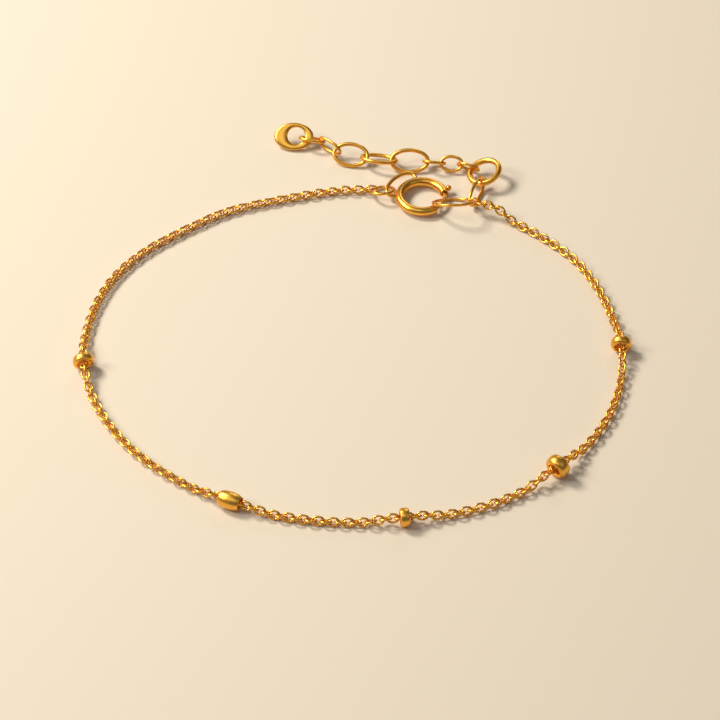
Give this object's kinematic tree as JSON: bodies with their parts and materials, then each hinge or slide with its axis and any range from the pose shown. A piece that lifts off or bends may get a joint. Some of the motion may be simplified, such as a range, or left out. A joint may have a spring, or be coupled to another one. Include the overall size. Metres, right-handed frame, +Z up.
{
  "type": "chain bracelet",
  "caption": "Fine gold cable-chain bracelet with small drilled beads, a spring-ring clasp and an extender chain ending in an oval tag.",
  "frame": {"origin": "under the middle of the bounding box, on the surface that the bracelet lies on", "axes": "+Z up, +Y from the front of the loop towards the clasp, +X to the right"},
  "size_m": [0.0586, 0.0602, 0.0028],
  "materials": {
    "chain_gold": "polished yellow gold wire",
    "satin_gold": "satin yellow gold",
    "polished_gold": "polished yellow gold"
  },
  "bodies": {
    "root": {"chain_left": "chain_gold", "chain_right": "chain_gold", "bead_1": "satin_gold", "bead_2": "satin_gold", "bead_3": "satin_gold", "bead_4": "satin_gold", "bead_5": "satin_gold", "clasp_ring": "polished_gold", "jump_ring": "polished_gold", "hook_ring": "polished_gold", "connector_link": "polished_gold", "extender_ring": "polished_gold", "extender_link_1": "polished_gold", "extender_link_2": "polished_gold", "extender_link_3": "polished_gold", "extender_link_4": "polished_gold", "extender_link_5": "polished_gold", "extender_link_6": "polished_gold", "extender_link_7": "polished_gold", "tag_link": "polished_gold", "end_tag": "polished_gold"},
    "gate": {"clasp_gate": "polished_gold"}
  },
  "joints": [
    {"name": "clasp_gate_slide", "type": "hinge", "parent": "root", "child": "gate", "pos_m": [0.00766, 0.01899, 0.00073], "axis": [0, 0, 1], "range_deg": [0, 55], "stiffness_Nm_per_rad": 0.000001, "springref_deg": -22.92}
  ]
}
